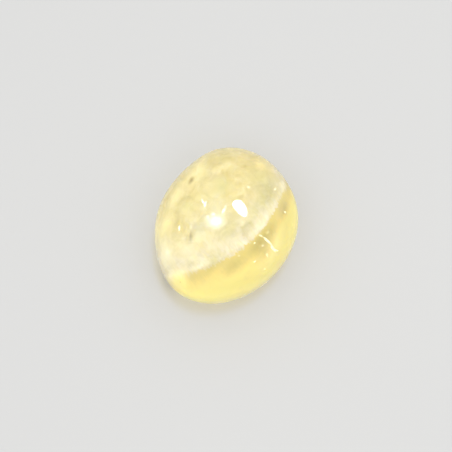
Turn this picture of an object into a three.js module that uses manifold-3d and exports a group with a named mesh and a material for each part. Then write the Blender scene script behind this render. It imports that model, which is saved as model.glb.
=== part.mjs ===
// A tumbled quartz pebble: one solid piece of pale yellow quartz, worn round and polished.
//
// It began as an angular chip. Tumbling took off its corners and left a plump pebble, a little
// egg-shaped, whose plan still swells slightly where the corners were and whose crown, shoulders
// and belly keep a few broad, soft flats. It rests on one small true flat on its underside.
//
// Units are millimetres and +Z is up. The origin is the middle of the pebble's box at its base, on
// the resting flat. +X runs along the pebble's length and +Y across it.
import * as THREE from "three";
import { mergeVertices } from "three/addons/utils/BufferGeometryUtils.js";
import Module from "manifold-3d";

// Driving dimensions
const LENGTH = 25.3;
const WIDTH = 21.6;
const HEIGHT = 16.0;
const GIRTH_HEIGHT = 7.6; // level of the widest outline above the base
const CROWN_LEAN = 1.5; // how far the crown leans along +X, over the pebble's thicker end
const REST_CUT = 0.25; // depth of belly that the resting flat takes away

// How full the sides stand: 2 gives an ellipsoid's sides and more gives plumper, steeper ones.
const SIDE_FULLNESS = 2.35;

// The plan swells by this share of its radius towards `corners` evenly spaced corners. One of them
// faces the azimuth, in degrees from +X.
const SWELLS = [
  { corners: 3, share: 0.019, azimuth: 46 },
  { corners: 4, share: 0.012, azimuth: 18 },
  { corners: 5, share: 0.009, azimuth: 27 },
];

// Broad worn flats: the way each one faces, in degrees, and how deep it is worn into the round.
const WORN_FLATS = [
  { azimuth: 205, elevation: 78, depth: 0.6 }, // crown
  { azimuth: 15, elevation: 44, depth: 0.55 }, // head shoulder
  { azimuth: 98, elevation: 40, depth: 0.5 }, // far shoulder
  { azimuth: 178, elevation: 40, depth: 0.55 }, // tail shoulder
  { azimuth: 292, elevation: 40, depth: 0.5 }, // near shoulder
  { azimuth: 70, elevation: -40, depth: 0.5 }, // far belly
  { azimuth: 190, elevation: -38, depth: 0.6 }, // tail belly
  { azimuth: 300, elevation: -42, depth: 0.55 }, // near belly
  { azimuth: 350, elevation: -32, depth: 0.45 }, // head belly
];
const EDGE_CRISPNESS = 34; // higher gives a tighter bend where a flat meets the round

const FACETS_PER_EDGE = 15; // splits of each edge of the icosahedron that the pebble starts from
const MERGE_DISTANCE = 1e-5; // corners of that ball, of radius 1, closer than this are one corner

const YELLOW_QUARTZ = new THREE.MeshStandardMaterial({
  name: "yellow_quartz",
  color: new THREE.Color().setRGB(0.95, 0.88, 0.6, THREE.SRGBColorSpace),
  roughness: 0.06,
  metalness: 0,
});

const CROWN_RISE = HEIGHT - GIRTH_HEIGHT;
const BELLY_DROP = GIRTH_HEIGHT + REST_CUT;

/** Unit vector that faces an azimuth and an elevation, in degrees. */
function facing(azimuth, elevation) {
  const turn = THREE.MathUtils.degToRad(azimuth);
  const rise = THREE.MathUtils.degToRad(elevation);
  const level = Math.cos(rise);
  return new THREE.Vector3(level * Math.cos(turn), level * Math.sin(turn), Math.sin(rise));
}

/** Share by which the plan swells in a direction. It fades out towards the poles. */
function swell(direction) {
  const turn = Math.atan2(direction.y, direction.x);
  const level = Math.hypot(direction.x, direction.y);
  return SWELLS.reduce((sum, { corners, share, azimuth }) => {
    const wave = Math.cos(corners * (turn - THREE.MathUtils.degToRad(azimuth)));
    return sum + share * wave * level ** corners;
  }, 0);
}

/** Distance from the pebble's centre to its round body, before any flat is worn into it. */
function roundReach(direction) {
  const plan = Math.hypot(direction.x / (LENGTH / 2), direction.y / (WIDTH / 2));
  const rise = Math.abs(direction.z) / (direction.z > 0 ? CROWN_RISE : BELLY_DROP);
  const full = (plan ** SIDE_FULLNESS + rise ** SIDE_FULLNESS) ** (1 / SIDE_FULLNESS);
  return (1 + swell(direction)) / full;
}

/** Unit vectors from the pebble's centre to every corner of a closed geometry around it. */
function directionsOf(geometry) {
  const { position } = geometry.attributes;
  return Array.from({ length: position.count }, (_, i) =>
    new THREE.Vector3().fromBufferAttribute(position, i).normalize(),
  );
}

/** The worn flats as planes: each one's normal and its distance from the pebble's centre. */
function flatPlanes(directions) {
  const round = directions.map((direction) => direction.clone().multiplyScalar(roundReach(direction)));
  return WORN_FLATS.map(({ azimuth, elevation, depth }) => {
    const normal = facing(azimuth, elevation);
    return { normal, distance: Math.max(...round.map((point) => point.dot(normal))) - depth };
  });
}

/** The point of the worn skin in a direction: the round body, softly cut by each flat, then leant. */
function wornPoint(direction, planes) {
  const cuts = planes.map(({ normal, distance }) => Math.max(0, direction.dot(normal) / distance));
  const nearness = [1 / roundReach(direction), ...cuts];
  const blended = nearness.reduce((sum, near) => sum + near ** EDGE_CRISPNESS, 0);
  const point = direction.clone().multiplyScalar(blended ** (-1 / EDGE_CRISPNESS));
  point.x += CROWN_LEAN * (Math.max(0, point.z) / CROWN_RISE) ** 2;
  return point;
}

/** Scales and moves the uncut pebble to its stated size, with the level of its resting flat at z 0. */
function setToSize(geometry) {
  geometry.computeBoundingBox();
  const { min } = geometry.boundingBox;
  const size = geometry.boundingBox.getSize(new THREE.Vector3());
  const middle = geometry.boundingBox.getCenter(new THREE.Vector3());
  geometry.translate(-middle.x, -middle.y, -min.z);
  geometry.scale(LENGTH / size.x, WIDTH / size.y, (HEIGHT + REST_CUT) / size.z);
  geometry.translate(0, 0, -REST_CUT);
}

/** The worn pebble before its resting flat is cut. */
function pebbleGeometry() {
  const ball = new THREE.IcosahedronGeometry(1, FACETS_PER_EDGE);
  ball.deleteAttribute("normal");
  ball.deleteAttribute("uv");
  const geometry = mergeVertices(ball, MERGE_DISTANCE);
  const directions = directionsOf(geometry);
  const planes = flatPlanes(directions);
  geometry.setFromPoints(directions.map((direction) => wornPoint(direction, planes)));
  setToSize(geometry);
  return geometry;
}

/** A block below z 0, larger than the pebble each way, with its top face at z 0. */
function blockBelowBase() {
  const block = new THREE.BoxGeometry(2 * LENGTH, 2 * WIDTH, HEIGHT);
  block.deleteAttribute("normal");
  block.deleteAttribute("uv");
  block.translate(0, 0, -HEIGHT / 2);
  return mergeVertices(block);
}

/** A closed geometry with merged vertices as a manifold-3d solid. */
function solidOf(wasm, geometry) {
  return new wasm.Manifold(
    new wasm.Mesh({
      numProp: 3,
      vertProperties: geometry.attributes.position.array,
      triVerts: new Uint32Array(geometry.index.array),
    }),
  );
}

/** A manifold-3d solid as a three.js geometry with a flat normal on each face. */
function geometryOf(solid) {
  const mesh = solid.getMesh();
  const geometry = new THREE.BufferGeometry()
    .setAttribute("position", new THREE.BufferAttribute(mesh.vertProperties, 3))
    .setIndex(new THREE.BufferAttribute(mesh.triVerts, 1))
    .toNonIndexed();
  geometry.computeVertexNormals();
  return geometry;
}

const wasm = await Module();
wasm.setup();

const worn = solidOf(wasm, pebbleGeometry());
const rested = worn.subtract(solidOf(wasm, blockBelowBase()));

const pebble = new THREE.Mesh(geometryOf(rested), YELLOW_QUARTZ);
pebble.name = "quartz_pebble";

const group = new THREE.Group();
group.name = "tumbled_yellow_quartz";
group.add(pebble);

export default group;
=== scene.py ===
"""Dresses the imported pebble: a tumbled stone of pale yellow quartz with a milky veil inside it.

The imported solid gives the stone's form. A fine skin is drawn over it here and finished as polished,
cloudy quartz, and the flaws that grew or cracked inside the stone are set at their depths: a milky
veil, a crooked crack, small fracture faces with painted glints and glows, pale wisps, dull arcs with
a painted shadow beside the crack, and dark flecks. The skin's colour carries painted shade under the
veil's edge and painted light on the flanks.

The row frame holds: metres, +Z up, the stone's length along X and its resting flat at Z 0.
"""

import logging
import math
from collections.abc import Sequence
from dataclasses import dataclass, field
from enum import Enum
from functools import cached_property

import bmesh
import bpy
from mathutils import Matrix, Vector, noise
from mathutils.bvhtree import BVHTree


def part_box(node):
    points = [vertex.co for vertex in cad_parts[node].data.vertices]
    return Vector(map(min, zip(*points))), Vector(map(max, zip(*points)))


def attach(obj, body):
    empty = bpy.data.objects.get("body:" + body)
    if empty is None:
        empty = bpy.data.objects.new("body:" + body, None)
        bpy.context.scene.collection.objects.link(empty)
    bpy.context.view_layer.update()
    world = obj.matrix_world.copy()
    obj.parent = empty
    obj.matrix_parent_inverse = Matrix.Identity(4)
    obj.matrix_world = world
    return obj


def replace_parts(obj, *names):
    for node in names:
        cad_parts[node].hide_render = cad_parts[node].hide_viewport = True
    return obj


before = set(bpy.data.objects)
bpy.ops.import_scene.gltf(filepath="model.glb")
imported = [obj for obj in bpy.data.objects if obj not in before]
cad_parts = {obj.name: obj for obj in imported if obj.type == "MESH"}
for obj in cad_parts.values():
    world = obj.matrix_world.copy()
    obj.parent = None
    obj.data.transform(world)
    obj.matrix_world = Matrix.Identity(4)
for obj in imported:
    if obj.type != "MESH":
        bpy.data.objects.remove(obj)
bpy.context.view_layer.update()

MM = 0.001
NODE = "quartz_pebble"
BODY = "root"
QUARTZ_IOR = 1.544
FADE = "fade"  # the name under which a flaw's points carry how thick it is there

Colour = tuple[float, float, float]
Place = tuple[float, float, float]
Spot = tuple[float, float]
Span = tuple[float, float]
Socket = bpy.types.NodeSocket
UP = Vector((0.0, 0.0, 1.0))
ORIGIN = Vector((0.0, 0.0, 0.0))

# The sockets of a Mix node for colours, by number, since its other kinds have the same names
MIX_SHARE, MIX_UNDER, MIX_OVER, MIX_RESULT = 0, 6, 7, 2

log = logging.getLogger("pebble")


def tone(red: float, green: float, blue: float) -> Colour:
    """A display colour, from 0 to 255 in each part, as the light that it stands for."""
    return tuple(((part / 255 + 0.055) / 1.055) ** 2.4 for part in (red, green, blue))


# ------------ shader recipes


@dataclass(frozen=True)
class Grain:
    """A soft pattern: its blotches' width in millimetres, its finer layers and its twist.

    Its patches rise from 0 to 1 over a span of its noise.
    """

    size: float
    layers: float = 3.0
    twist: float = 0.0
    span: Span = (0.35, 0.65)


class Signal:
    """A number that varies through a finish. Arithmetic on it adds the Math nodes."""

    def __init__(self, recipe: "Recipe", socket: Socket) -> None:
        """Keeps the socket that carries the number and the recipe that it belongs to."""
        self.recipe = recipe
        self.socket = socket

    def _math(self, operation: str, first: "Amount", second: "Amount") -> "Signal":
        """Adds one Math node and gives its result."""
        node = self.recipe.node("ShaderNodeMath", {"operation": operation}, {0: first, 1: second})
        return Signal(self.recipe, node.outputs[0])

    def __add__(self, other: "Amount") -> "Signal":
        """self + other."""
        return self._math("ADD", self, other)

    def __radd__(self, other: "Amount") -> "Signal":
        """other + self."""
        return self._math("ADD", other, self)

    def __sub__(self, other: "Amount") -> "Signal":
        """self - other."""
        return self._math("SUBTRACT", self, other)

    def __rsub__(self, other: "Amount") -> "Signal":
        """other - self."""
        return self._math("SUBTRACT", other, self)

    def __mul__(self, other: "Amount") -> "Signal":
        """self * other."""
        return self._math("MULTIPLY", self, other)

    def __rmul__(self, other: "Amount") -> "Signal":
        """other * self."""
        return self._math("MULTIPLY", other, self)

    def __truediv__(self, other: "Amount") -> "Signal":
        """self / other."""
        return self._math("DIVIDE", self, other)


Amount = Signal | float
Input = Signal | Socket | float | Sequence[float]


class Recipe:
    """The node tree of one finish, filled by short calls."""

    def __init__(self, name: str) -> None:
        """Starts an empty material.

        Args:
            name: The material's name.
        """
        self.material = bpy.data.materials.new(name)
        self.material.use_nodes = True
        self.tree = self.material.node_tree
        self.tree.nodes.clear()

    def node(
        self, kind: str, settings: dict[str, object], inputs: dict[int | str, Input]
    ) -> bpy.types.Node:
        """Adds a node: its settings come first, then the values and links of its sockets.

        Args:
            kind: The node's type.
            settings: Its properties by name.
            inputs: What each socket holds, by name or number.

        Returns:
            The new node.
        """
        made = self.tree.nodes.new(kind)
        for name, value in settings.items():
            setattr(made, name, value)
        for key, value in inputs.items():
            socket = made.inputs[key]
            if isinstance(value, Signal):
                self.tree.links.new(value.socket, socket)
            elif isinstance(value, Socket):
                self.tree.links.new(value, socket)
            elif socket.type == "RGBA":
                socket.default_value = (*value, 1.0)
            else:
                socket.default_value = value
        return made

    @cached_property
    def place(self) -> Socket:
        """The point being coloured, in millimetres of the row frame."""
        raw = self.node("ShaderNodeTexCoord", {}, {}).outputs["Object"]
        return self.vector("SCALE", raw, scale=1 / MM)

    def vector(
        self, operation: str, first: Input, second: Input = (0, 0, 0), scale: "Amount" = 1.0
    ) -> Socket:
        """Adds a Vector Math node. SCALE reads the scale in place of the second vector."""
        inputs = {0: first, "Scale": scale} if operation == "SCALE" else {0: first, 1: second}
        return self.node("ShaderNodeVectorMath", {"operation": operation}, inputs).outputs[0]

    def along(self, origin: Vector, direction: Vector) -> Signal:
        """How far the point being coloured lies past an origin in a direction.

        Args:
            origin: Where the measure starts, in millimetres.
            direction: The way that counts as positive.

        Returns:
            The distance in millimetres.
        """
        offset = self.vector("SUBTRACT", self.place, tuple(origin))
        node = self.node(
            "ShaderNodeVectorMath", {"operation": "DOT_PRODUCT"}, {0: offset, 1: tuple(direction)}
        )
        return Signal(self, node.outputs["Value"])

    def noise(self, grain: Grain, place: Socket | None = None) -> Signal:
        """Soft three-dimensional noise round 0.5.

        Args:
            grain: The pattern.
            place: Where it is read, if that isn't the point being coloured.

        Returns:
            The noise, from 0 to 1.
        """
        inputs = {"Vector": self.place if place is None else place, "Scale": 1 / grain.size}
        inputs |= {"Detail": grain.layers, "Distortion": grain.twist}
        return Signal(self, self.node("ShaderNodeTexNoise", {}, inputs).outputs[0])

    def strokes(self, grain: Grain, way: Vector, fineness: float) -> Signal:
        """Noise that is squeezed in one direction, so that it turns to strokes across it.

        Args:
            grain: The pattern.
            way: The direction in which it is squeezed.
            fineness: How many times finer it gets that way.

        Returns:
            The noise, from 0 to 1.
        """
        shift = self.vector("SCALE", tuple(way), scale=self.along(ORIGIN, way) * (fineness - 1))
        return self.noise(grain, self.vector("ADD", self.place, shift))

    def patches(self, grain: Grain) -> Signal:
        """A pattern's patches: 0 between them and 1 in them, with soft rims."""
        return self.ease(self.noise(grain), *grain.span)

    def attribute(self, name: str) -> Signal:
        """The value that a piece's points carry under a name."""
        node = self.node("ShaderNodeAttribute", {"attribute_name": name}, {})
        return Signal(self, node.outputs["Fac"])

    def clamp(self, amount: Signal, low: float, high: float) -> Signal:
        """Keeps a number between the least and the most that it may be."""
        node = self.node("ShaderNodeClamp", {}, {0: amount, 1: low, 2: high})
        return Signal(self, node.outputs[0])

    def ease(self, amount: Signal, low: float, high: float) -> Signal:
        """Rises smoothly from 0 to 1 between two values.

        Args:
            amount: What is read.
            low: Where the result is 0.
            high: Where the result is 1. It may lie under low.

        Returns:
            The eased number.
        """
        inputs = {"Value": amount, "From Min": low, "From Max": high}
        settings = {"interpolation_type": "SMOOTHSTEP"}
        return Signal(self, self.node("ShaderNodeMapRange", settings, inputs).outputs[0])

    def spot(self, centre: Place, radii: Place) -> Signal:
        """A soft ellipsoid: 1 at its centre and 0 at its rim.

        Args:
            centre: The ellipsoid's centre, in millimetres.
            radii: Its half sizes, in millimetres.

        Returns:
            The strength of the spot.
        """
        scaled = self.vector("DIVIDE", self.vector("SUBTRACT", self.place, centre), radii)
        node = self.node("ShaderNodeVectorMath", {"operation": "LENGTH"}, {0: scaled})
        return self.ease(Signal(self, node.outputs["Value"]), 1.0, 0.0)

    def mix(self, share: Amount, under: Input, over: Input) -> Socket:
        """Lays one colour over another, by the share of the upper one that shows."""
        inputs = {MIX_SHARE: share, MIX_UNDER: under, MIX_OVER: over}
        return self.node("ShaderNodeMix", {"data_type": "RGBA"}, inputs).outputs[MIX_RESULT]

    def blend_shaders(self, share: Signal, under: Input, over: Input) -> Socket:
        """Lays one shader over another, by the share of the upper one that shows."""
        return self.node("ShaderNodeMixShader", {}, {0: share, 1: under, 2: over}).outputs[0]

    def finish(self, surface: Input, volume: Input | None = None) -> bpy.types.Material:
        """Closes the recipe.

        Args:
            surface: The shader of the surface.
            volume: The shader of the inside, if it has one.

        Returns:
            The finished material.
        """
        inputs = {"Surface": surface}
        if volume is not None:
            inputs["Volume"] = volume
        self.node("ShaderNodeOutputMaterial", {}, inputs)
        return self.material


# ------------ the camera


@dataclass
class Viewpoint:
    """The camera, looking steeply down on the stone across its tail.

    Its turns are in degrees and its lengths in millimetres.
    """

    azimuth: float = -61.5
    elevation: float = 77.0
    distance: float = 168.5
    lens: float = 86.0
    nearest: float = 1.0
    target: Vector = field(default_factory=lambda: Vector((0.24, -0.02, 8.05)))

    @property
    def back(self) -> Vector:
        """The direction from the stone to the camera.

        Returns:
            A vector of length 1.
        """
        turn, rise = math.radians(self.azimuth), math.radians(self.elevation)
        level = math.cos(rise)
        return Vector((math.sin(turn) * level, -math.cos(turn) * level, math.sin(rise)))

    @property
    def right(self) -> Vector:
        """The picture's right."""
        turn = math.radians(self.azimuth)
        return Vector((math.cos(turn), math.sin(turn), 0))

    @property
    def up(self) -> Vector:
        """The picture's top."""
        return self.back.cross(self.right)

    def build(self) -> None:
        """Sets the scene's camera."""
        data = bpy.data.cameras.new("camera")
        data.lens = self.lens
        data.clip_start = self.nearest * MM
        camera = bpy.data.objects.new("camera", data)
        camera.location = (self.target + self.back * self.distance) * MM
        camera.rotation_mode = "QUATERNION"
        camera.rotation_quaternion = (-self.back).to_track_quat("-Z", "Y")
        bpy.context.scene.collection.objects.link(camera)
        bpy.context.scene.camera = camera


# ------------ the stone's form


@dataclass
class Skin:
    """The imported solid's surface, used to set pieces on and in it."""

    weld: float = 0.001
    tree: BVHTree = field(init=False)

    def __post_init__(self) -> None:
        """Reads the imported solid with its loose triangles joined."""
        shape = bmesh.new()
        shape.from_mesh(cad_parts[NODE].data)
        bmesh.ops.remove_doubles(shape, verts=shape.verts, dist=self.weld * MM)
        self.tree = BVHTree.FromBMesh(shape)
        shape.free()

    @property
    def centre(self) -> Vector:
        """The middle of the solid's box."""
        low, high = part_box(NODE)
        return (low + high) / 2

    def reach(self, origin: Vector, direction: Vector) -> Vector:
        """Where a line that starts inside the solid leaves it, in metres."""
        hit = self.tree.ray_cast(origin, direction)[0]
        return hit if hit is not None else self.tree.find_nearest(origin + direction)[0]

    def under(self, x: float, y: float, depth: float) -> Vector:
        """A point below the crown side of the skin.

        Args:
            x: Its place along the length, in millimetres.
            y: Its place across, in millimetres.
            depth: How far it lies below the skin, in millimetres.

        Returns:
            The point, in metres.
        """
        above = Vector((x * MM, y * MM, 1.0))
        hit = self.tree.ray_cast(above, Vector((0, 0, -1)))[0]
        return hit - Vector((0, 0, depth * MM))

    def inside(self, point: Vector, depth: float) -> Vector:
        """Keeps a point under the skin.

        Args:
            point: The point, in metres.
            depth: The least depth, in millimetres.

        Returns:
            The point, or one straight below the skin near it if it lies higher than that.
        """
        near, normal, _, _ = self.tree.find_nearest(point)
        rise = (point - near).dot(normal)
        return point if rise < -depth * MM else near - normal * depth * MM


def place_piece(
    name: str, shape: bmesh.types.BMesh, finish: bpy.types.Material
) -> bpy.types.Object:
    """Turns a built shape into a piece of the stone that rides with it.

    Args:
        name: The piece's name.
        shape: The built shape, in metres. It is freed.
        finish: The piece's material.

    Returns:
        The piece.
    """
    mesh = bpy.data.meshes.new(name)
    shape.to_mesh(mesh)
    shape.free()
    mesh.materials.append(finish)
    mesh.shade_smooth()
    piece = bpy.data.objects.new(name, mesh)
    bpy.context.scene.collection.objects.link(piece)
    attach(piece, BODY)
    return piece


# ------------ the veil's surface


@dataclass(frozen=True)
class VeilSurface:
    """The gently bent surface that the milky veil grew on. Its lengths are in millimetres.

    It comes out through the crown side of the skin and dips steeply away from there. The bend
    gives its height over a plane as the terms of a power series in the distance along it.
    """

    middle: Vector = field(default_factory=lambda: Vector((-2.7, -3.4, 13.6)))
    outward: Vector = field(default_factory=lambda: Vector((0.18, 0.66, 0.73)).normalized())
    along: Vector = field(default_factory=lambda: Vector((0.90, -0.41, 0.14)).normalized())
    bend: tuple[float, ...] = (0.02, -0.06, 0.018, 0.0005, -0.00015)

    @property
    def dip(self) -> Vector:
        """The way down the surface, square to its run along the skin."""
        return self.outward.cross(self.along).normalized()

    def lift(self, run: Amount) -> Amount:
        """How far the surface stands off its plane at a distance along its run.

        Args:
            run: The distance along it, in millimetres.

        Returns:
            The height over the plane, in millimetres.
        """
        height: Amount = self.bend[-1]
        for term in reversed(self.bend[:-1]):
            height = height * run + term
        return height

    def side(self, recipe: Recipe) -> Signal:
        """How far the point lies on the milky side of the surface, negative on the clear side."""
        run = recipe.along(self.middle, self.along)
        return recipe.along(self.middle, self.outward) - self.lift(run)


# ------------ finishes


OLIVE = tone(181, 176, 120)
AMBER = tone(234, 206, 128)
CREAM = tone(244, 238, 208)
MILK = tone(238, 232, 210)
GOLD = tone(255, 238, 160)
STRAW = tone(252, 240, 184)
PAINTED_HALO = tone(232, 236, 222)
FAWN = tone(226, 208, 140)


@dataclass(frozen=True)
class Stain:
    """A soft patch of another colour in the stone, in millimetres of the row frame. Some stains are
    painted shade or painted light.

    Its cloud is how much it adds to the share of the stone that scatters light.
    """

    name: str
    centre: Place
    radii: Place
    colour: Colour
    strength: float
    cloud: float = 0.4


STAINS = (
    # Painted shade: these three darken the clear side in olive under the veil's edge
    Stain("painted shade beside the crack", (0.6, -6.9, 14.3), (3.4, 1.9, 1.9), OLIVE, 0.7, -0.1),
    Stain("painted shade under the veil", (-1.6, -6.1, 14.3), (3.0, 1.3, 1.5), OLIVE, 0.6, -0.1),
    Stain("olive under the veil", (-4.6, -5.2, 13.8), (3.2, 1.5, 1.6), OLIVE, 0.5, 0.0),
    Stain("amber under the veil", (-7.4, -2.6, 13.4), (1.8, 1.1, 1.5), AMBER, 0.5, 0.1),
    Stain("dull band on the clear side", (5.6, -6.9, 13.2), (3.0, 1.5, 1.8), OLIVE, 0.5, -0.2),
    Stain("amber on the shoulder", (9.6, -0.7, 13.6), (1.6, 1.2, 1.6), AMBER, 0.7),
    Stain("olive at the blunt end", (9.6, 2.6, 13.2), (2.2, 2.2, 2.2), OLIVE, 0.5),
    Stain("olive on the shoulder", (7.9, -1.8, 14.8), (3.8, 3.2, 2.8), OLIVE, 0.9, 0.15),
    Stain("olive on the crown", (3.7, 2.6, 15.6), (2.6, 2.1, 1.6), OLIVE, 0.95),
    Stain("dull slant by the veil", (3.0, -3.3, 15.3), (3.6, 1.3, 1.4), OLIVE, 0.9),
    Stain("dull hollow by the glow", (-1.2, -1.4, 15.2), (4.0, 2.3, 2.2), OLIVE, 0.75, 0.1),
    Stain("thin end of the veil", (6.0, -4.0, 14.8), (4.8, 2.8, 2.6), OLIVE, 1.0, 0.1),
    # Painted light: a pale halo round the glow
    Stain("haze round the glow", (0.2, 1.9, 15.4), (3.8, 3.6, 2.8), PAINTED_HALO, 0.6, 0.1),
    # Painted light: paler towards the rim of the clear side
    Stain("pale rim of the clear side", (-0.6, -8.2, 12.8), (5.4, 2.6, 3.0), CREAM, 0.35, 0.05),
    Stain("cream beside the dark line", (-6.4, 2.8, 14.0), (3.6, 2.4, 2.4), CREAM, 0.8, 0.2),
    Stain("dull slant on the veil", (0.4, -3.7, 15.2), (3.6, 1.6, 1.8), OLIVE, 0.6, 0.0),
    # Painted light: a pale halo left of the glow
    Stain("haze left of the glow", (-3.2, 2.7, 15.0), (2.8, 2.4, 2.2), PAINTED_HALO, 0.7, 0.0),
    # Painted light: lightens the low flank
    Stain("straw low on the flank", (-6.0, 8.4, 9.4), (5.5, 3.6, 4.0), STRAW, 0.9, 0.3),
    Stain("dull patch over the fork", (1.4, 3.9, 15.4), (2.6, 2.2, 2.0), OLIVE, 0.4, 0.1),
    Stain("cream above the flank", (-0.5, 8.4, 13.0), (3.6, 2.6, 2.8), STRAW, 0.8, 0.3),
    Stain("pale band on the clear side", (6.2, -6.8, 13.6), (4.6, 1.6, 2.0), CREAM, 0.3, 0.0),
    Stain("dull patch by the clear rim", (-1.9, -7.5, 13.8), (2.8, 1.8, 2.0), OLIVE, 0.6, -0.05),
    Stain("dull patch by the tail", (-6.3, -4.4, 13.9), (2.4, 1.3, 1.6), OLIVE, 0.4, -0.05),
    Stain("fawn at the blunt end", (9.6, 0.6, 12.6), (5.2, 6.4, 5.0), FAWN, 0.8, 0.1),
    Stain("dull oval", (-1.4, 5.7, 14.6), (2.1, 1.8, 1.6), OLIVE, 0.6),
    Stain("dull patch on the veil", (-6.4, -1.6, 14.2), (3.0, 1.8, 1.6), OLIVE, 0.75, 0.0),
    Stain("amber streak", (-1.3, 3.2, 14.8), (1.2, 0.4, 1.2), AMBER, 0.9),
    Stain("window over the fleck", (2.7, 7.2, 13.9), (1.1, 0.8, 0.9), CREAM, 0.0, -0.65),
    Stain("window over the dark line", (-5.2, 3.0, 14.6), (1.8, 1.0, 1.0), CREAM, 0.0, -0.3),
    Stain("cream by the blunt end", (3.8, 7.2, 13.4), (4.2, 2.7, 3.0), STRAW, 0.85, 0.3),
    # Painted light: these two lighten the flank and the tail
    Stain("cream on the flank", (-4.6, 7.4, 12.4), (3.8, 2.4, 2.8), STRAW, 0.9, 0.4),
    Stain("cream at the tail", (-7.8, 5.4, 11.5), (4.4, 3.2, 3.4), CREAM, 0.7, 0.3),
    Stain("gold at the tip of the veil", (-10.9, 2.0, 10.6), (3.2, 2.4, 3.2), GOLD, 0.9, 0.35),
)


@dataclass(frozen=True)
class CloudyQuartz:
    """Polished yellow quartz: glassy stone with a cloudy share that scatters light.

    Its lengths are in millimetres. A run lies past the veil's edge, and a height over the flat.
    """

    veil: VeilSurface
    bright: Colour = tone(255, 233, 152)
    pale: Colour = tone(235, 226, 180)
    dull: Colour = tone(219, 207, 152)
    stains: tuple[Stain, ...] = STAINS
    stain_share: float = 0.36
    stain_wisps: float = 0.8
    cloud_clear_side: float = 0.66
    cloud_milky_side: float = 0.47
    cloudiest: float = 0.92
    polish: float = 0.03
    gloss: float = 0.35
    tint: Colour = (0.99, 0.965, 0.84)
    yellow: Colour = (0.99, 0.91, 0.30)
    depth_of_yellow: float = 24.0
    glow_through: Colour = (0.92, 0.87, 0.70)
    glow_radius: Colour = (1.0, 0.9, 0.5)
    glow_depth: float = 4.0
    # The veil's edge: lumps and strokes feather it, and it is crisp on the crown
    lumps: Grain = Grain(0.8)
    lump_reach: float = 0.9
    feathers: Grain = Grain(0.9)
    feather_comb: float = 4.0
    feather_reach: float = 1.1
    softening_heights: Span = (15.0, 8.5)
    crisp_width: float = 0.14
    soft_width: float = 1.4
    edge: Span = (-0.9, 1.0)
    # The clear side
    veil_shade_run: Span = (-2.8, -0.3)
    veil_shade_share: float = 0.45
    mottle: Grain = Grain(1.6, span=(0.5, 0.7))
    mottle_share: float = 0.15
    # The milky side
    blotches: Grain = Grain(3.4, twist=0.6, span=(0.22, 0.78))
    wisps: Grain = Grain(1.3, 4.0, 1.2, (0.45, 0.75))
    wisp_share: float = 0.3
    milk_strokes: Grain = Grain(1.7, twist=0.3, span=(0.36, 0.62))
    milk_comb: float = 3.5
    milk_run: Span = (5.0, 0.8)
    milk_between: float = 0.5
    # How cloudy it is
    puffs: Grain = Grain(2.2, twist=0.8)
    puff_middle: float = 0.4
    puff_cloud: float = 0.12
    flank_heights: Span = (8.0, 3.5)
    flank_clearing: float = 0.4
    flank_drift: float = 0.3
    drift: Grain = Grain(5.0, 2.0, 0.2, (0.3, 0.7))
    belt_top: Span = (12.5, 9.0)
    belt_bottom: Span = (3.5, 7.5)
    belt_cloud: float = 0.25
    veil_edge_run: Span = (1.4, 0.3)
    veil_edge_cloud: float = 0.14

    def side(self, recipe: Recipe) -> Signal:
        """How far a point lies past the veil's feathered edge.

        Args:
            recipe: The recipe that is being filled.

        Returns:
            The distance in millimetres, negative on the clear side.
        """
        lumps = recipe.noise(self.lumps) - 0.5
        feathers = recipe.strokes(self.feathers, self.veil.along, self.feather_comb) - 0.5
        plain = self.veil.side(recipe)
        return plain + lumps * self.lump_reach + feathers * self.feather_reach

    def milkiness(self, recipe: Recipe, side: Signal) -> Signal:
        """The change from clear to milky: crisp on the crown and soft low on the flanks.

        Args:
            recipe: The recipe that is being filled.
            side: How far the point lies past the veil's edge.

        Returns:
            0 on the clear side and 1 on the milky side.
        """
        low = recipe.ease(recipe.along(ORIGIN, UP), *self.softening_heights)
        width = self.crisp_width + self.soft_width * low
        return recipe.ease(side / width, *self.edge)

    def clear_colour(self, recipe: Recipe, side: Signal) -> Input:
        """The colour of the clear side: golden, with olive painted shade where it runs up to the
        veil.

        Args:
            recipe: The recipe that is being filled.
            side: How far the point lies past the veil's edge.

        Returns:
            The colour.
        """
        # Painted shade: olive darkens the clear side where it nears the veil's edge
        shade = recipe.ease(side, *self.veil_shade_run) * self.veil_shade_share
        shaded = recipe.mix(shade, self.bright, OLIVE)
        return recipe.mix(recipe.patches(self.mottle) * self.mottle_share, shaded, self.dull)

    def milky_colour(self, recipe: Recipe, side: Signal, wisp: Signal) -> Input:
        """The colour of the milky side: pale with dull clouds, and milkier beside the veil.

        Args:
            recipe: The recipe that is being filled.
            side: How far the point lies past the veil's edge.
            wisp: Fine wispy noise.

        Returns:
            The colour.
        """
        clouds = recipe.mix(recipe.patches(self.blotches), self.dull, self.pale)
        wispy = recipe.mix(recipe.ease(wisp, *self.wisps.span) * self.wisp_share, clouds, CREAM)
        strokes = recipe.strokes(self.milk_strokes, self.veil.along, self.milk_comb)
        stroke = recipe.ease(strokes, *self.milk_strokes.span)
        between = self.milk_between
        milk = recipe.ease(side, *self.milk_run) * (between + (1 - between) * stroke)
        return recipe.mix(milk, wispy, MILK)

    def colour(self, recipe: Recipe, side: Signal, spots: list[Signal]) -> Input:
        """The stone's colour, with its stains, some of which are painted shade or painted light.

        Args:
            recipe: The recipe that is being filled.
            side: How far the point lies past the veil's edge.
            spots: How strong each stain is at the point.

        Returns:
            The colour.
        """
        wisp = recipe.noise(self.wisps)
        clear = self.clear_colour(recipe, side)
        milky = self.milky_colour(recipe, side, wisp)
        toned = recipe.mix(self.milkiness(recipe, side), clear, milky)
        patchy = self.stain_share + self.stain_wisps * wisp
        for stain, spot in zip(self.stains, spots):
            log.debug("stain: %s", stain.name)
            toned = recipe.mix(spot * patchy * stain.strength, toned, stain.colour)
        return toned

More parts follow.
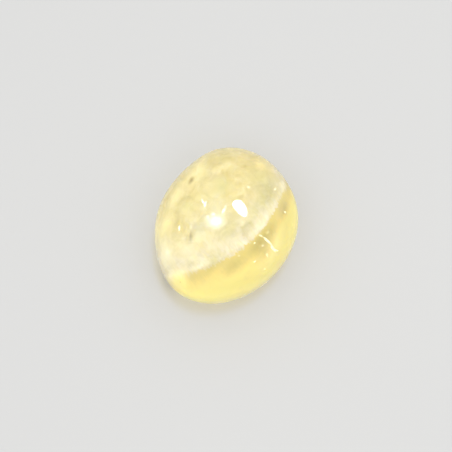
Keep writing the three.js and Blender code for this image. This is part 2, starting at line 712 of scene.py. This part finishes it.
    def cloudiness(self, recipe: Recipe, side: Signal, spots: list[Signal]) -> Signal:
        """How much of the stone scatters light.

        It is less on the milky side, where the veil's sheets show, and low on the clear side. It is
        more in a belt round the girth, along the veil's edge and in most of the stains.

        Args:
            recipe: The recipe that is being filled.
            side: How far the point lies past the veil's edge.
            spots: How strong each stain is at the point.

        Returns:
            The cloudy share, from 0 to 1.
        """
        milky = self.milkiness(recipe, side)
        puffs = recipe.patches(self.puffs) - self.puff_middle
        height = recipe.along(ORIGIN, UP)
        flank = recipe.ease(height, *self.flank_heights) * (1 - milky)
        belt = recipe.ease(height, *self.belt_top) * recipe.ease(height, *self.belt_bottom)
        drift = self.flank_drift * recipe.patches(self.drift)
        clearing = flank * (self.flank_clearing - drift)
        by_veil = milky * recipe.ease(side, *self.veil_edge_run)
        cloud = self.cloud_clear_side + milky * (self.cloud_milky_side - self.cloud_clear_side)
        cloud = cloud + milky * puffs * self.puff_cloud - clearing + belt * self.belt_cloud
        cloud = cloud + by_veil * self.veil_edge_cloud
        for stain, spot in zip(self.stains, spots):
            cloud = cloud + spot * stain.cloud
        return recipe.clamp(cloud, 0.0, self.cloudiest)

    def clear_stone(self, recipe: Recipe) -> Socket:
        """The shader of the clear share of the stone."""
        return recipe.node(
            "ShaderNodeBsdfPrincipled",
            {},
            {
                "Base Color": self.tint,
                "Roughness": self.polish,
                "IOR": QUARTZ_IOR,
                "Transmission Weight": 1.0,
            },
        ).outputs[0]

    def cloudy_stone(self, recipe: Recipe, colour: Input) -> Socket:
        """The shader of the share of the stone that scatters light."""
        return recipe.node(
            "ShaderNodeBsdfPrincipled",
            {"subsurface_method": "RANDOM_WALK"},
            {
                "Base Color": colour,
                "Roughness": self.polish,
                "IOR": QUARTZ_IOR,
                "Specular IOR Level": self.gloss,
                "Subsurface Weight": 1.0,
                "Subsurface Radius": self.glow_radius,
                "Subsurface Scale": self.glow_depth * MM,
            },
        ).outputs[0]

    def material(self) -> bpy.types.Material:
        """Mixes the finish.

        Returns:
            The material.
        """
        recipe = Recipe("cloudy_quartz")
        side = self.side(recipe)
        spots = [recipe.spot(stain.centre, stain.radii) for stain in self.stains]
        cloudy = self.cloudy_stone(recipe, self.colour(recipe, side, spots))
        cloud = self.cloudiness(recipe, side, spots)
        stone = recipe.blend_shaders(cloud, self.clear_stone(recipe), cloudy)
        through = recipe.node("ShaderNodeBsdfTransparent", {}, {"Color": self.glow_through})
        lamp_ray = recipe.node("ShaderNodeLightPath", {}, {}).outputs["Is Shadow Ray"]
        surface = recipe.blend_shaders(Signal(recipe, lamp_ray), stone, through.outputs[0])
        absorbing = {"Color": self.yellow, "Density": self.depth_of_yellow}
        volume = recipe.node("ShaderNodeVolumeAbsorption", {}, absorbing).outputs[0]
        return recipe.finish(surface, volume)


@dataclass(frozen=True)
class Flaw:
    """The finish of a flaw inside the stone: matt, and broken up where its fade runs low. Its painted
    glow makes it shine in its own colour with no lamp on it.
    """

    name: str
    colour: Colour
    contrast: float = 0.92
    cover: float = 1.0
    erosion: float = 0.0
    grain: float = 0.4
    coarser: float = 4.0
    worn: Span = (-0.05, 0.85)
    blotches: Grain = Grain(2.5, twist=0.8)
    rough: float = 0.6
    painted_glow: float = 0.0

    def material(self) -> bpy.types.Material:
        """Mixes the finish.

        Returns:
            The material.
        """
        recipe = Recipe(self.name)
        fade = recipe.attribute(FADE)
        if self.erosion:
            fine = recipe.noise(Grain(self.grain))
            grains = fine + recipe.noise(Grain(self.grain * self.coarser))
            fade = recipe.ease(fade + (grains - 1) * self.erosion, *self.worn)
        darker = tuple(self.contrast * part for part in self.colour)
        colour = recipe.mix(recipe.patches(self.blotches), self.colour, darker)
        paint = recipe.node(
            "ShaderNodeBsdfPrincipled",
            {},
            {
                "Base Color": colour,
                "Roughness": self.rough,
                "Alpha": fade * self.cover,
                # Painted glow: the flaw emits its own colour
                "Emission Color": self.colour,
                "Emission Strength": self.painted_glow,
            },
        )
        return recipe.finish(paint.outputs[0])


# ------------ the stone and its flaws


@dataclass
class PebbleBody:
    """The stone itself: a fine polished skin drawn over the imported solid."""

    skin: Skin
    veil: VeilSurface
    rounds: int = 7
    smoothing: int = 14
    smoothness: float = 0.5

    def build(self) -> bpy.types.Object:
        """Models and dresses the stone.

        Returns:
            The piece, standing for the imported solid.
        """
        shape = bmesh.new()
        bmesh.ops.create_icosphere(shape, subdivisions=self.rounds, radius=1.0)
        centre = self.skin.centre
        for corner in shape.verts:
            corner.co = self.skin.reach(centre, corner.co.normalized())
        for _ in range(self.smoothing):
            bmesh.ops.smooth_vert(
                shape,
                verts=shape.verts,
                factor=self.smoothness,
                use_axis_x=True,
                use_axis_y=True,
                use_axis_z=True,
            )
        bmesh.ops.recalc_face_normals(shape, faces=shape.faces)
        piece = place_piece("pebble_body", shape, CloudyQuartz(self.veil).material())
        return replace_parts(piece, NODE)


@dataclass
class FlawPiece:
    """A piece inside the stone: flaws of one kind, modelled one by one into one shape.

    Points that lie within its weld, in millimetres, are joined. Where its flaws are closed shapes,
    their faces are turned outwards.
    """

    skin: Skin
    name: str
    finish: Flaw
    flaws: tuple["Sheet | Mark | Stroke | Crack", ...]
    weld: float = field(default=0.0, kw_only=True)
    closed: bool = field(default=False, kw_only=True)

    def add(self, shape: bmesh.types.BMesh, flaw: "Sheet | Mark | Stroke | Crack") -> None:
        """Adds one flaw to a shape in metres. Each kind of flaw has its own way."""
        raise NotImplementedError

    def build(self) -> bpy.types.Object:
        """Models and dresses the flaws.

        Returns:
            The piece.
        """
        shape = bmesh.new()
        shape.verts.layers.float.new(FADE)
        for flaw in self.flaws:
            log.debug("%s: %s", self.name, flaw.name)
            self.add(shape, flaw)
        if self.weld:
            bmesh.ops.remove_doubles(shape, verts=shape.verts, dist=self.weld * MM)
        if self.closed:
            bmesh.ops.recalc_face_normals(shape, faces=shape.faces)
        return place_piece(self.name, shape, self.finish.material())


@dataclass(frozen=True)
class Sheet:
    """One sheet of the veil: its distance on the milky side and how thick it is, from 0 to 1."""

    name: str
    offset: float
    cover: float


@dataclass
class MilkyVeil(FlawPiece):
    """The milky veil: feathered sheets that dip through the stone from its edge on the skin.

    Lengths are in millimetres. Each sheet is a fan of spokes round a hub inside the stone.
    """

    veil: VeilSurface
    spokes: int = 120
    rings: int = 44
    hub_depth: float = 7.0
    fill: float = 0.965
    least_depth: float = 0.12
    wave_height: float = 0.5
    waves_per_mm: float = 0.35
    flat_depth: float = 12.0
    edge_width: float = 0.9
    thin_depth: float = 9.0
    thinning: float = 0.7

    def add(self, shape: bmesh.types.BMesh, sheet: Sheet) -> None:
        """Adds one sheet to a shape.

        Args:
            shape: The shape, in metres.
            sheet: The sheet.
        """
        fade = shape.verts.layers.float.get(FADE)
        veil = self.veil
        hub = (veil.middle + veil.outward * sheet.offset + veil.dip * self.hub_depth) * MM
        made = bmesh.ops.create_grid(
            shape, x_segments=self.spokes, y_segments=self.rings, size=1.0
        )
        for corner in made["verts"]:
            turn = math.pi * (corner.co.x + 1.0)
            share = (corner.co.y + 1.0) / 2
            way = veil.along * math.cos(turn) + veil.dip * math.sin(turn)
            rim = (self.skin.reach(hub, way) - hub).length * self.fill
            flat = hub + way * rim * share
            run = (flat / MM - veil.middle).dot(veil.along)
            depth = (flat / MM - veil.middle).dot(veil.dip)
            wave = noise.noise(flat / MM * self.waves_per_mm) * self.wave_height
            bend = veil.lift(run) * min(1.0, max(0.0, 1.0 - depth / self.flat_depth))
            corner.co = self.skin.inside(flat + veil.outward * (bend + wave) * MM, self.least_depth)
            edge = min(1.0, (1.0 - share) * rim / (self.edge_width * MM))
            thick = 1.0 - self.thinning * min(1.0, max(0.0, depth / self.thin_depth))
            corner[fade] = sheet.cover * edge * thick


@dataclass(frozen=True)
class Mark:
    """Where a small flaw lies: its place on the crown, depth, half sizes and turn in degrees."""

    name: str
    x: float
    y: float
    depth: float
    length: float
    width: float
    turn: float = 0.0

    def axes(self, view: Viewpoint) -> tuple[Vector, Vector]:
        """The ways in which the flaw's length and width lie, square to the camera's sight.

        Args:
            view: The camera.

        Returns:
            Half the length and half the width as vectors, in metres.
        """
        turn = math.radians(self.turn)
        long = view.right * math.cos(turn) + view.up * math.sin(turn)
        wide = view.up * math.cos(turn) - view.right * math.sin(turn)
        return long * self.length * MM, wide * self.width * MM


class Rim(Enum):
    """How a fracture face ends: faded all the way from its middle, or whole nearly to its rim."""

    SOFT = "soft"
    CRISP = "crisp"


@dataclass
class FractureFaces(FlawPiece):
    """Small white fracture faces inside the stone, which stand as painted glints and glows for the
    lamp's reflections on fractures.
    """

    view: Viewpoint
    rim: Rim = Rim.CRISP
    spokes: int = 28
    rings: int = 8
    raggedness: float = 0.25
    lobes: float = 1.7
    soft_power: float = 1.3
    crisp_slope: float = 3.0

    def thickness(self, share: float) -> float:
        """How thick a face is at a share of the way to its rim.

        Args:
            share: 0 in its middle and 1 on its rim.

        Returns:
            The thickness, from 0 to 1.
        """
        if self.rim is Rim.SOFT:
            return (1.0 - share) ** self.soft_power
        return min(1.0, self.crisp_slope * (1.0 - share))

    def add(self, shape: bmesh.types.BMesh, mark: Mark) -> None:
        """Adds one face, a flat patch with an uneven rim.

        Args:
            shape: The shape, in metres.
            mark: The face's place and size.
        """
        fade = shape.verts.layers.float.get(FADE)
        made = bmesh.ops.create_grid(
            shape, x_segments=self.spokes, y_segments=self.rings, size=1.0
        )
        centre = self.skin.under(mark.x, mark.y, mark.depth)
        long, wide = mark.axes(self.view)
        for corner in made["verts"]:
            angle = math.pi * (corner.co.x + 1.0)
            share = (corner.co.y + 1.0) / 2
            around = Vector((math.cos(angle), math.sin(angle), mark.x / self.lobes))
            rough = 1.0 + self.raggedness * noise.noise(around * self.lobes)
            corner.co = centre + (long * around.x + wide * around.y) * share * rough
            corner[fade] = self.thickness(share)


@dataclass(frozen=True)
class Stroke:
    """A bowed line under the crown, in millimetres. Its bow is to the left of its run."""

    name: str
    start: Spot
    end: Spot
    bow: float = 0.0
    depth: float = 0.5
    width: float = 0.4

    def at(self, share: float) -> Vector:
        """The place at a share of the line's length.

        Args:
            share: 0 at its start and 1 at its end.

        Returns:
            The place on the crown, in millimetres.
        """
        start, end = Vector(self.start), Vector(self.end)
        left = Vector((start.y - end.y, end.x - start.x)).normalized()
        return start.lerp(end, share) + left * self.bow * math.sin(math.pi * share)


@dataclass(frozen=True)
class Crack:
    """A crooked line under the crown that bends at each of its corners, in millimetres."""

    name: str
    corners: tuple[Spot, ...]
    depth: float = 0.35
    width: float = 0.16

    def at(self, share: float) -> Vector:
        """The place at a share of the line, on which each of its stretches counts the same.

        Args:
            share: 0 at its start and 1 at its end.

        Returns:
            The place on the crown, in millimetres.
        """
        reach = share * (len(self.corners) - 1)
        index = min(int(reach), len(self.corners) - 2)
        return Vector(self.corners[index]).lerp(Vector(self.corners[index + 1]), reach - index)


@dataclass
class Threads(FlawPiece):
    """Thin lines inside the stone: flattened tubes that swell and taper."""

    steps: int = 48
    sides: int = 8
    glance: float = 0.01
    taper: float = 0.4
    thinnest: float = 0.2
    flatness: float = 0.3
    jag: float = 1.2
    jags: float = 9.0

    def add(self, shape: bmesh.types.BMesh, line: Stroke | Crack) -> None:
        """Adds one line.

        Args:
            shape: The shape, in metres.
            line: The line's course.
        """
        fade = shape.verts.layers.float.get(FADE)
        made = bmesh.ops.create_cone(
            shape, cap_ends=True, segments=self.sides, radius1=1.0, radius2=1.0, depth=2.0
        )
        edges = {edge for corner in made["verts"] for edge in corner.link_edges}
        upright = [e for e in edges if abs(e.verts[0].co.z - e.verts[1].co.z) > 1.0]
        bmesh.ops.subdivide_edges(shape, edges=upright, cuts=self.steps)
        for corner in [corner for corner in shape.verts if not corner.tag]:
            corner.tag = True
            share = min(1.0, max(0.0, (corner.co.z + 1.0) / 2))
            here = line.at(share)
            before = line.at(max(0.0, share - self.glance))
            ahead = line.at(min(1.0, share + self.glance)) - before
            left = Vector((-ahead.y, ahead.x)).normalized()
            swell = math.sin(math.pi * share) ** self.taper
            uneven = 1.0 + self.jag * noise.noise(Vector((share * self.jags, line.width, 0.0)))
            girth = line.width * swell * max(self.thinnest, uneven)
            spot = here + left * corner.co.x * girth
            depth = line.depth + corner.co.y * girth * self.flatness
            corner.co = self.skin.under(spot.x, spot.y, depth)
            corner[fade] = swell


@dataclass
class DarkFlecks(FlawPiece):
    """Dark mineral flecks inside the stone: small uneven lumps."""

    view: Viewpoint
    rounds: int = 3
    lumpiness: float = 0.5
    lumps: float = 1.6

    def add(self, shape: bmesh.types.BMesh, mark: Mark) -> None:
        """Adds one fleck.

        Args:
            shape: The shape, in metres.
            mark: The fleck's place and size.
        """
        fade = shape.verts.layers.float.get(FADE)
        made = bmesh.ops.create_icosphere(shape, subdivisions=self.rounds, radius=1.0)
        centre = self.skin.under(mark.x, mark.y, mark.depth)
        long, wide = mark.axes(self.view)
        thick = self.view.back * mark.width * MM
        for corner in made["verts"]:
            lump = noise.noise(corner.co * self.lumps + Vector((mark.x, mark.y, 0.0)))
            a, b, c = corner.co * (1.0 + self.lumpiness * lump)
            corner.co = centre + long * a + wide * b + thick * c
            corner[fade] = 1.0


# ------------ studio


@dataclass(frozen=True)
class Lamp:
    """One oval soft lamp. Its lengths are in millimetres and its power in watts.

    A lamp that isn't mirrored lights the stone, and isn't seen in its polish or through it.
    """

    name: str
    aim: Vector
    towards: Vector
    distance: float
    wide: float
    tall: float
    power: float
    mirrored: bool = True

    def hang(self, view: Viewpoint) -> None:
        """Hangs the lamp so that it faces its aim, with its width along the picture.

        Args:
            view: The camera.
        """
        data = bpy.data.lights.new(self.name, "AREA")
        data.shape = "ELLIPSE"
        data.size = self.wide * MM
        data.size_y = self.tall * MM
        data.energy = self.power
        out = self.towards.normalized()
        across = (view.right - out * view.right.dot(out)).normalized()
        lamp = bpy.data.objects.new(self.name, data)
        lamp.location = (self.aim + out * self.distance) * MM
        lamp.rotation_mode = "QUATERNION"
        turn = Matrix((across, out.cross(across), out)).transposed()
        lamp.rotation_quaternion = turn.to_quaternion()
        lamp.visible_glossy = self.mirrored
        lamp.visible_transmission = self.mirrored
        bpy.context.scene.collection.objects.link(lamp)


@dataclass
class Studio:
    """A pale floor, a small key lamp that glints on the crown, a wide fill and a pale sky."""

    view: Viewpoint
    floor_size: float = 40000.0
    floor_drop: float = 0.02
    floor_colour: Colour = (0.46, 0.46, 0.455)
    floor_roughness: float = 0.7
    sky: float = 0.88
    sky_colour: Colour = (1.0, 1.0, 1.0)
    key_up: float = 0.28
    key_right: float = 0.07
    fill_up: float = -0.1
    glint: Vector = field(default_factory=lambda: Vector((2.1, -1.4, 15.9)))

    def floor(self) -> None:
        """Lays the floor just under the stone."""
        recipe = Recipe("pale_floor")
        paint = {"Base Color": self.floor_colour, "Roughness": self.floor_roughness}
        shader = recipe.node("ShaderNodeBsdfPrincipled", {}, paint).outputs[0]
        shape = bmesh.new()
        bmesh.ops.create_grid(shape, x_segments=1, y_segments=1, size=self.floor_size * MM / 2)
        bmesh.ops.translate(shape, verts=shape.verts, vec=-UP * self.floor_drop * MM)
        mesh = bpy.data.meshes.new("floor")
        shape.to_mesh(mesh)
        shape.free()
        mesh.materials.append(recipe.finish(shader))
        floor = bpy.data.objects.new("floor", mesh)
        bpy.context.scene.collection.objects.link(floor)

    def lamps(self) -> tuple[Lamp, ...]:
        """The lamps: the key hangs above the camera and the fill is wide and close to it.

        Returns:
            The lamps.
        """
        back, right, up = self.view.back, self.view.right, self.view.up
        key = Lamp(
            "key",
            aim=self.glint,
            towards=back + self.key_up * up + self.key_right * right,
            distance=400,
            wide=48,
            tall=96,
            power=0.9,
        )
        fill = Lamp(
            "fill",
            aim=self.view.target,
            towards=back + self.fill_up * up,
            distance=700,
            wide=900,
            tall=900,
            power=1.5,
            mirrored=False,
        )
        return key, fill

    def build(self) -> None:
        """Lays the floor, hangs the lamps and sets the sky."""
        self.floor()
        for lamp in self.lamps():
            lamp.hang(self.view)
        world = bpy.data.worlds.new("studio")
        world.use_nodes = True
        background = world.node_tree.nodes["Background"]
        background.inputs["Strength"].default_value = self.sky
        background.inputs["Color"].default_value = (*self.sky_colour, 1.0)
        bpy.context.scene.world = world
        bpy.context.scene.view_settings.view_transform = "Standard"


# ------------ the flaws of this stone

SHEETS = (
    Sheet("front sheet", 0.1, 1.0),
    Sheet("second sheet", 0.6, 0.6),
    Sheet("deep sheet", 1.5, 0.45),
)
# Painted glows: soft white faces for the lamp's blurred reflection on fractures, with its halo
PAINTED_GLOWS = (
    Mark("glow", -1.1, 0.9, 1.7, 2.1, 1.5),
    Mark("middle of the glow", -1.1, 0.9, 1.5, 1.3, 0.9),
    Mark("core of the glow", -1.0, 0.9, 1.4, 0.8, 0.55),
    Mark("streak over the glow", 0.8, 0.6, 1.2, 0.8, 0.3, 60),
    Mark("patch left of the glow", -0.4, 1.8, 1.3, 0.6, 0.3, 20),
    Mark("patch under the fork", -1.1, 2.3, 1.3, 0.5, 0.3, 80),
    Mark("soft glint at the tail", -8.1, 5.2, 1.0, 0.5, 0.45),
    Mark("soft dot below the crack", -1.7, -8.0, 0.7, 0.45, 0.3, 100),
    Mark("soft dot beside the crack", -0.9, -6.8, 1.0, 0.24, 0.2),
)
# Painted glints: small white faces for the lamp's sharp reflections on fractures
PAINTED_GLINTS = (
    Mark("core of the streak", 0.7, 0.7, 1.2, 0.45, 0.12, 60),
    Mark("dot over the streak", 1.4, 0.7, 1.0, 0.16, 0.14),
    Mark("left arm of the fork", 0.5, 4.0, 1.0, 0.55, 0.14, 115),
    Mark("right arm of the fork", 0.3, 3.5, 1.0, 0.6, 0.16, 75),
    Mark("upright glint", -4.5, 5.2, 1.0, 0.45, 0.14, 90),
    Mark("dot on the crown", 5.6, -0.9, 0.7, 0.17, 0.15),
    Mark("dot by the veil", 7.5, -4.4, 0.7, 0.17, 0.15),
    Mark("dot on the clear side", 5.4, -7.2, 0.8, 0.18, 0.15),
    Mark("dot in the olive", 5.8, 1.3, 0.8, 0.14, 0.13),
    Mark("dot at the blunt end", 10.4, 3.1, 0.8, 0.2, 0.15),
    Mark("dot at the veil's edge", -1.3, -5.7, 0.4, 0.15, 0.14),
    Mark("dot under the veil", -3.5, -6.9, 0.7, 0.18, 0.15),
    Mark("lower dot", -3.5, -8.6, 0.8, 0.17, 0.15),
    Mark("dot on the veil's edge", -4.1, -4.6, 0.3, 0.15, 0.12),
)
CRACK_CORNERS = (
    ((0.0, -5.6), (0.1, -6.0), (0.1, -6.7), (-0.1, -7.1), (0.0, -7.3), (-0.2, -8.0))
    + ((-0.4, -8.2), (-0.5, -8.5), (-0.5, -8.8), (-0.3, -9.0), (-0.2, -9.3))
)
CROOKED = Crack("crack", CRACK_CORNERS)
WISPS = (
    Stroke("outer barb of the hook", (4.5, 4.6), (6.3, 4.8), bow=0.15, width=0.36),
    Stroke("long barb of the hook", (5.0, 4.0), (7.3, 4.2), bow=0.15, depth=0.4),
    Stroke("inner barb of the hook", (5.8, 3.2), (8.1, 3.5), bow=0.15, depth=0.4),
    Stroke("wisp on the crown", (3.6, 0.2), (5.6, -0.1), bow=-0.5, depth=1.1, width=0.2),
    Stroke("wisp on the shoulder", (6.9, -2.4), (8.3, -2.2), bow=-0.3, depth=0.6),
    Stroke("upright wisp", (-3.1, 4.0), (-4.0, 3.5), bow=-0.1, depth=0.6, width=0.16),
    Stroke("wisp along the veil", (-0.4, -2.4), (2.6, -3.5), depth=0.8),
    Stroke("curl beside the crack", (0.9, -6.2), (1.4, -6.7), bow=-0.2, depth=0.3, width=0.18),
)
DULL_LINES = (
    Stroke("rim of the oval", (-1.5, 7.2), (0.1, 4.8), bow=1.0, width=0.11),
    Stroke("streak on the flank", (-4.7, 6.3), (-3.7, 6.0), width=0.11),
    Stroke("dark line's tail", (-3.9, 3.6), (-5.8, 2.7), bow=0.1, depth=0.4, width=0.11),
    Stroke("arc in the olive", (6.3, 0.4), (6.4, 1.5), bow=-0.15, depth=0.6, width=0.11),
    Stroke("arc at the blunt end", (7.9, 0.7), (8.6, 1.5), bow=-0.1, depth=0.6, width=0.11),
    Stroke("arc over the curl", (0.9, -5.9), (1.7, -6.6), bow=0.15, depth=0.4, width=0.14),
    # Painted shadow: a dull line beside the crack
    Stroke("painted shadow beside the crack", (0.3, -7.3), (-0.2, -8.6), bow=0.1, depth=0.5, width=0.11),
    Stroke("streak under the fork", (-1.3, 3.4), (-1.8, 3.1), depth=0.8, width=0.11),
)
FLECKS = (
    Mark("large fleck", 2.7, 7.2, 0.35, 0.36, 0.15, 60),
    Mark("small fleck", 3.5, 7.2, 0.5, 0.12, 0.08, 30),
    Mark("thin fleck by the hook", 4.6, 4.7, 0.5, 0.4, 0.07, 100),
    Mark("fleck on the shoulder", 8.2, 1.1, 0.5, 0.3, 0.1, 10),
    Mark("thin fleck on the shoulder", 8.6, -0.4, 0.5, 0.25, 0.08, 140),
    Mark("dark line", -5.5, 2.9, 0.12, 1.15, 0.075, 91),
    Mark("speck at the tail", -11.2, 1.6, 0.2, 0.14, 0.12),
    Mark("smudge beside the line", -5.3, 3.6, 0.3, 0.25, 0.06, 85),
)


def main() -> None:
    """Builds the view, the studio and the stone, in that order."""
    logging.basicConfig(level=logging.INFO, format="%(message)s")
    view = Viewpoint()
    view.build()
    Studio(view).build()
    skin = Skin()
    veil = VeilSurface()
    milk = Flaw("veil_milk", tone(248, 243, 220), erosion=0.55, grain=0.25)
    # Painted glints and glows: the fracture faces shine white with emission
    glint_paint = Flaw("fracture_painted_glint", tone(255, 255, 252), painted_glow=1.4)
    glow_paint = Flaw("fracture_painted_glow", tone(250, 253, 255), cover=0.95, painted_glow=1.0)
    # Painted glow: the whitish crack glows and the wisps glow faintly
    healed = Flaw("crack_white", tone(255, 255, 250), painted_glow=0.9)
    wispy = Flaw("pale_wisp", CREAM, cover=0.68, erosion=0.6, painted_glow=0.08)
    dull = Flaw("dull_arc", OLIVE, cover=0.8, erosion=0.5)
    dark = Flaw("fleck_olive", tone(116, 100, 54))
    faces = {"weld": 0.002}
    tubes = {"weld": 0.001, "closed": True}
    parts = (
        PebbleBody(skin, veil),
        MilkyVeil(skin, "milky_veil", milk, SHEETS, veil, weld=0.01),
        FractureFaces(skin, "soft_fractures", glow_paint, PAINTED_GLOWS, view, Rim.SOFT, **faces),
        FractureFaces(skin, "bright_fractures", glint_paint, PAINTED_GLINTS, view, **faces),
        Threads(skin, "white_crack", healed, (CROOKED,), **tubes),
        Threads(skin, "pale_wisps", wispy, WISPS, **tubes),
        Threads(skin, "dull_arcs", dull, DULL_LINES, **tubes),
        DarkFlecks(skin, "dark_flecks", dark, FLECKS, view, closed=True),
    )
    for part in parts:
        piece = part.build()
        log.info("%s: %d faces", piece.name, len(piece.data.polygons))


if __name__ == "__main__":
    main()
